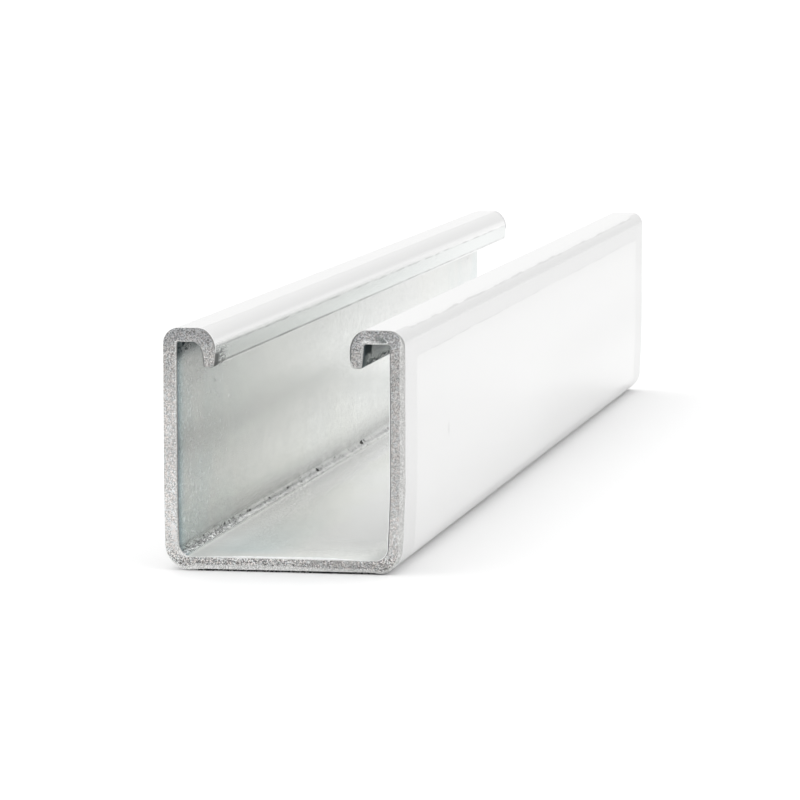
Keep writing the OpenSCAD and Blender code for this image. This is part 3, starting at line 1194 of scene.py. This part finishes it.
def add_chip(work, spot, out, radius, flat, draw, drawn_out=1.0):
    """One flattened, irregular chip, sunk halfway into the surface and drawn out along the channel."""
    turn = out.to_track_quat("Z", "Y").to_matrix().to_4x4()
    spin = Euler((0, 0, draw.uniform(0, math.tau))).to_matrix().to_4x4()
    long, broad = radius * draw.uniform(0.8, 1.3), radius * draw.uniform(0.6, 1.0)
    stretch = Matrix.Diagonal((long, broad, radius * flat, 1))
    made = bmesh.ops.create_icosphere(work, subdivisions=2, radius=1.0)
    seed = draw.uniform(0, 100)
    for vert in made["verts"]:
        vert.co *= 1 + 0.45 * noise.noise(vert.co * 1.6 + Vector((seed, 0, 0)))
        vert.co = turn @ spin @ stretch @ vert.co
        vert.co.y *= drawn_out
        vert.co += spot
        vert.co.z = max(vert.co.z, 0.0)


class STRUT_OT_bend_grit(Operator):
    """Scatter the dark grit that sits in the two web bends, and dark chips under the raised ends of the web
    that paint a deeper shadow in the gap there
    """

    bl_idname = "strut.build_bend_grit"
    bl_label = "Bend grit"

    def execute(self, context):
        scene = context.scene
        size, settings = scene.strut_section, scene.strut_mesh
        draw = random.Random(7)
        work = bmesh.new()

        def in_bend(side, turn, along, radius, flat, drawn_out):
            spot, out = bend_spot(size, settings, side, turn, along * MM)
            add_chip(work, spot, out, radius * MM, flat, draw, drawn_out)

        for side in (-1, 1):
            for along, width in BIG_SPECKS:
                along = along if side < 0 else LENGTH / MM - along
                in_bend(side, draw.uniform(52, 60), along, width / 2, 0.35, 3.2)
                for _ in range(6):
                    near = along + draw.gauss(0, 2.4)
                    in_bend(side, draw.gauss(56, 9), near, draw.uniform(0.06, 0.15), 0.4, 3.0)
            for _ in range(90):
                along = draw.uniform(1.5, 42) if side < 0 else draw.uniform(263, 303)
                turn = draw.choice((draw.gauss(62, 6), draw.gauss(38, 6)))
                in_bend(side, turn, along, draw.uniform(0.07, 0.17), 0.4, 2.0)
            for _ in range(60):
                turn, along = draw.gauss(54, 8), draw.uniform(42, 262)
                in_bend(side, turn, along, draw.uniform(0.05, 0.12), 0.4, 4.0)
        # Dark chips under the raised ends of the web: painted shadow that deepens the shade in the gap
        for end, way in ((NEAR_END, 1), (FAR_END, -1)):
            for _ in range(230):
                across, inwards = draw.uniform(-15.5, 14.5) * MM, draw.uniform(0.6, 2.2) * MM
                spot = Vector((across, end + way * inwards, 0.09 * MM))
                add_chip(work, spot, Vector((0, 0, 1)), draw.uniform(0.12, 0.2) * MM, 0.4, draw)
        mesh = take_mesh(work, "bend_grit")
        mesh.shade_smooth()
        grit = link("bend_grit", mesh, [grit_and_gap_shade(scene.strut_finish)])
        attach(grit, "root")
        return {"FINISHED"}


# ---- Studio ------------------------------------------------------


def floor_material():
    """Plain white floor."""
    material, graph, shader = new_material("studio_floor", 0.0, 0.9)
    graph.feed(shader["Base Color"], (0.93, 0.93, 0.93))
    graph.feed(shader["Specular IOR Level"], 0.1)
    return material


def white_room(scene, studio):
    """A white surround that is dimmer behind the camera, and plain white where the camera sees it."""
    world = bpy.data.worlds.new("white_room")
    world.use_nodes = True
    scene.world = world
    world.node_tree.nodes.clear()
    graph = Graph(world.node_tree)
    direction = graph.add("ShaderNodeTexCoord").outputs["Generated"]
    _, y, z = graph.add("ShaderNodeSeparateXYZ", inputs={0: direction}).outputs
    around = graph.ramp(y, -0.9, 0.1, studio.behind, studio.sky)
    strength = graph.plus(around, graph.ramp(z, 0.1, 0.8, 0.0, studio.overhead))
    light = graph.add("ShaderNodeBackground", inputs={"Color": (1, 1, 1), "Strength": strength})
    seen = graph.add("ShaderNodeBackground", inputs={"Color": (1, 1, 1), "Strength": 1.0})
    camera_ray = graph.add("ShaderNodeLightPath").outputs["Is Camera Ray"]
    mixed = graph.add("ShaderNodeMixShader", inputs={0: camera_ray, 1: light.outputs[0], 2: seen.outputs[0]})
    graph.add("ShaderNodeOutputWorld", inputs={"Surface": mixed.outputs[0]})


# Where the soft light above stands, aimed at the middle of the floor, and how wide it is
KEY_PLACE = Vector((-0.5, -0.1, 1.1))
KEY_WIDTH = 0.9


def key_light(scene, studio):
    """A square soft light that the camera doesn't see."""
    data = bpy.data.lights.new("soft_key", "AREA")
    data.shape = "SQUARE"
    data.size = KEY_WIDTH
    data.energy = studio.key
    light = bpy.data.objects.new("soft_key", data)
    light.location = KEY_PLACE
    light.rotation_euler = (-KEY_PLACE).to_track_quat("-Z", "Y").to_euler()
    light.visible_camera = False
    scene.collection.objects.link(light)


# Where the camera stands, with Y from the near end, and how far it is turned, raised and rolled, in degrees
CAMERA_PLACE = (0.1589, -0.7459, 0.1109)
CAMERA_TURNS = (10.55, 6.109, -0.11)


def add_camera(scene, studio):
    """A long lens, a little above and to the right of the near end."""
    data = bpy.data.cameras.new("camera")
    data.sensor_width = 36.0
    data.lens = studio.lens / MM
    data.clip_start, data.clip_end = 0.01, 50.0
    camera = bpy.data.objects.new("camera", data)
    azimuth, elevation, roll = (math.radians(angle) for angle in CAMERA_TURNS)
    camera.location = (CAMERA_PLACE[0], NEAR_END + CAMERA_PLACE[1], CAMERA_PLACE[2])
    level = math.cos(elevation)
    ahead = Vector((-math.sin(azimuth) * level, math.cos(azimuth) * level, -math.sin(elevation)))
    turn = ahead.to_track_quat("-Z", "Y").to_matrix() @ Matrix.Rotation(roll, 3, "Z")
    camera.rotation_euler = turn.to_euler()
    scene.collection.objects.link(camera)
    scene.camera = camera


class STRUT_OT_studio(Operator):
    """Set up the pale floor, the soft light and the camera"""

    bl_idname = "strut.build_studio"
    bl_label = "Studio"

    def execute(self, context):
        scene = context.scene
        studio = scene.strut_studio
        work = bmesh.new()
        bmesh.ops.create_circle(work, cap_ends=True, segments=96, radius=studio.floor_radius)
        floor = link("studio_floor", take_mesh(work, "studio_floor"), [floor_material()])
        floor.location.z = CAD_LOW.z
        white_room(scene, studio)
        key_light(scene, studio)
        add_camera(scene, studio)
        scene.view_settings.view_transform = "Standard"
        scene.view_settings.look = "None"
        return {"FINISHED"}


class STRUT_PT_sidebar(Panel):
    """The channel's pieces and settings in the sidebar"""

    bl_label = "Strut Channel"
    bl_idname = "STRUT_PT_sidebar"
    bl_space_type = "VIEW_3D"
    bl_region_type = "UI"
    bl_category = "Strut Channel"

    def draw(self, context):
        for operator in OPERATORS:
            self.layout.operator(operator.bl_idname)
        for name, group in SETTINGS.items():
            box = self.layout.box()
            box.label(text=group.__doc__)
            for field in group.__annotations__:
                box.prop(getattr(context.scene, name), field)


SETTINGS = {
    "strut_section": SectionSizes,
    "strut_left_lip": LipShape,
    "strut_right_lip": LipShape,
    "strut_mesh": StripMesh,
    "strut_finish": FinishColors,
    "strut_studio": StudioSettings,
}
OPERATORS = (STRUT_OT_studio, STRUT_OT_channel, STRUT_OT_burrs, STRUT_OT_bend_grit)
CLASSES = (*dict.fromkeys(SETTINGS.values()), *OPERATORS, STRUT_PT_sidebar)


def register():
    for cls in CLASSES:
        bpy.utils.register_class(cls)
    for name, group in SETTINGS.items():
        setattr(bpy.types.Scene, name, PointerProperty(type=group))


def unregister():
    for name in SETTINGS:
        delattr(bpy.types.Scene, name)
    for cls in reversed(CLASSES):
        bpy.utils.unregister_class(cls)


def shape_right_lip(lip):
    """The right lip is squarer inside its pocket and rounder at its tip."""
    lip.pocket_across, lip.pocket_down = 0.3 * MM, 0.3 * MM
    lip.thickness, lip.pocket_lean = 2.4 * MM, 0.3 * MM
    lip.face_lean, lip.face_edge_r = 0.05 * MM, 0.8 * MM
    lip.curl_down, lip.drop = 3.6 * MM, 0.0
    lip.reach = 0.17 * MM


def main():
    register()
    shape_right_lip(bpy.context.scene.strut_right_lip)
    bpy.ops.strut.build_studio()
    bpy.ops.strut.build_channel()
    bpy.ops.strut.build_burrs()
    bpy.ops.strut.build_bend_grit()


if __name__ == "__main__":
    main()
